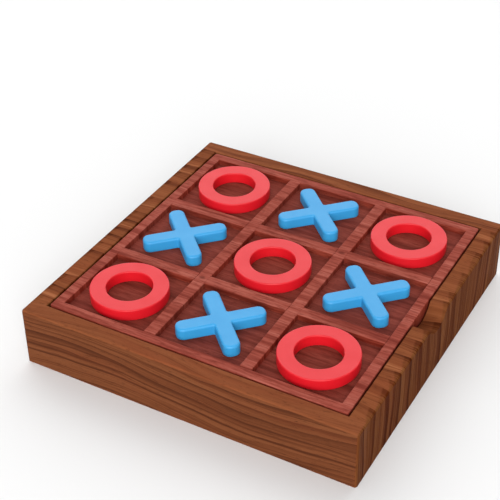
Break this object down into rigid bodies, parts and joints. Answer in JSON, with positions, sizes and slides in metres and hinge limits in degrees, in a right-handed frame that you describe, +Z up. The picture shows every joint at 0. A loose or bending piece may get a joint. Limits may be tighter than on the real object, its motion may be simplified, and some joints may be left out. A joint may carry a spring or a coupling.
{
  "type": "tic tac toe set",
  "caption": "Square walnut-brown wooden box closed by a red wood lift-out tray of square cells, with loose red plastic rings and blue plastic crosses standing in the cells.",
  "frame": {"origin": "centre of the underside, on the surface the box stands on", "axes": "+Z up, +Y towards the back, +X towards the wall with the finger notch"},
  "size_m": [0.15, 0.15, 0.0294],
  "materials": {
    "walnut": "satin oiled",
    "red_wood": "satin oiled",
    "red_plastic": "smooth satin",
    "blue_plastic": "smooth satin"
  },
  "bodies": {
    "box": {"front_wall": "walnut", "back_wall": "walnut", "left_wall": "walnut", "right_wall": "walnut", "bottom_panel": "walnut", "front_ledge": "walnut", "back_ledge": "walnut", "left_ledge": "walnut", "right_ledge": "walnut"},
    "tray": {"tray_floor": "red_wood", "tray_front_rail": "red_wood", "tray_back_rail": "red_wood", "tray_left_rail": "red_wood", "tray_right_rail": "red_wood", "tray_front_rib": "red_wood", "tray_back_rib": "red_wood", "tray_left_rib": "red_wood", "tray_right_rib": "red_wood"},
    "ring_front_left": {"ring_front_left": "red_plastic"},
    "ring_front_right": {"ring_front_right": "red_plastic"},
    "ring_centre": {"ring_centre": "red_plastic"},
    "ring_back_left": {"ring_back_left": "red_plastic"},
    "ring_back_right": {"ring_back_right": "red_plastic"},
    "cross_front": {"cross_front": "blue_plastic"},
    "cross_left": {"cross_left": "blue_plastic"},
    "cross_right": {"cross_right": "blue_plastic"},
    "cross_back": {"cross_back": "blue_plastic"}
  },
  "joints": [
    {"name": "tray_lift", "type": "slide", "parent": "box", "child": "tray", "axis": [0, 0, 1], "range_m": [0, 0.06]},
    {"name": "ring_front_left_lift", "type": "slide", "parent": "tray", "child": "ring_front_left", "axis": [0, 0, 1], "range_m": [0, 0.04]},
    {"name": "ring_front_right_lift", "type": "slide", "parent": "tray", "child": "ring_front_right", "axis": [0, 0, 1], "range_m": [0, 0.04]},
    {"name": "ring_centre_lift", "type": "slide", "parent": "tray", "child": "ring_centre", "axis": [0, 0, 1], "range_m": [0, 0.04]},
    {"name": "ring_back_left_lift", "type": "slide", "parent": "tray", "child": "ring_back_left", "axis": [0, 0, 1], "range_m": [0, 0.04]},
    {"name": "ring_back_right_lift", "type": "slide", "parent": "tray", "child": "ring_back_right", "axis": [0, 0, 1], "range_m": [0, 0.04]},
    {"name": "cross_front_lift", "type": "slide", "parent": "tray", "child": "cross_front", "axis": [0, 0, 1], "range_m": [0, 0.04]},
    {"name": "cross_left_lift", "type": "slide", "parent": "tray", "child": "cross_left", "axis": [0, 0, 1], "range_m": [0, 0.04]},
    {"name": "cross_right_lift", "type": "slide", "parent": "tray", "child": "cross_right", "axis": [0, 0, 1], "range_m": [0, 0.04]},
    {"name": "cross_back_lift", "type": "slide", "parent": "tray", "child": "cross_back", "axis": [0, 0, 1], "range_m": [0, 0.04]}
  ]
}
